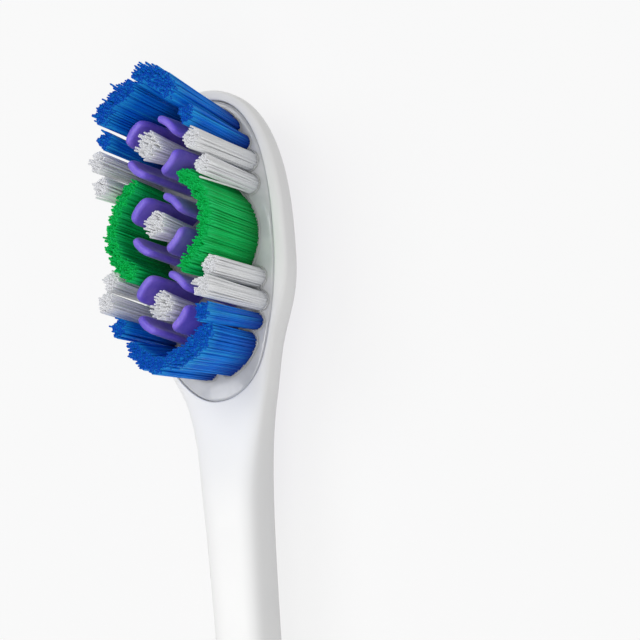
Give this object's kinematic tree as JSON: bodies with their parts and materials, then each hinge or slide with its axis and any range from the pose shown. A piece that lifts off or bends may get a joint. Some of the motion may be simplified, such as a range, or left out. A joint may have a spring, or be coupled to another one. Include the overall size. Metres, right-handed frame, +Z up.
{
  "type": "manual toothbrush",
  "caption": "Manual toothbrush with an oval head of coloured bristle tufts and rubber polishing cups, a nubbed tongue cleaner on its back and a slim handle with soft grips.",
  "frame": {"origin": "centre of the overall box in X and Y, on the table that the brush lies on", "axes": "+X along the brush toward the tip of the head, +Y across it, +Z up, the way the bristles point"},
  "size_m": [0.19, 0.0154, 0.0185],
  "materials": {
    "white_body": "gloss",
    "plate_milky": "satin",
    "soft_purple": "satin",
    "cup_violet": "satin",
    "bristle_blue": "satin",
    "bristle_green": "satin",
    "bristle_white": "satin"
  },
  "bodies": {
    "root": {"arc_tuft_left": "bristle_green", "arc_tuft_right": "bristle_green", "back_grip": "soft_purple", "handle_body": "white_body", "heel_centre_tuft": "bristle_white", "heel_corner_tuft_left": "bristle_blue", "heel_corner_tuft_right": "bristle_blue", "heel_cup": "cup_violet", "heel_inner_tuft_left": "bristle_white", "heel_inner_tuft_right": "bristle_white", "heel_outer_tuft_left": "bristle_white", "heel_outer_tuft_right": "bristle_white", "heel_tuft_left": "bristle_blue", "heel_tuft_right": "bristle_blue", "middle_centre_tuft": "bristle_white", "middle_cup": "cup_violet", "thumb_grip": "soft_purple", "toe_centre_tuft": "bristle_white", "toe_corner_tuft_left": "bristle_blue", "toe_corner_tuft_right": "bristle_blue", "toe_cup": "cup_violet", "toe_inner_tuft_left": "bristle_white", "toe_inner_tuft_right": "bristle_white", "toe_outer_tuft_left": "bristle_white", "toe_outer_tuft_right": "bristle_white", "toe_tuft_left": "bristle_blue", "toe_tuft_right": "bristle_blue", "tongue_cleaner": "soft_purple", "tuft_plate": "plate_milky"}
  },
  "joints": []
}
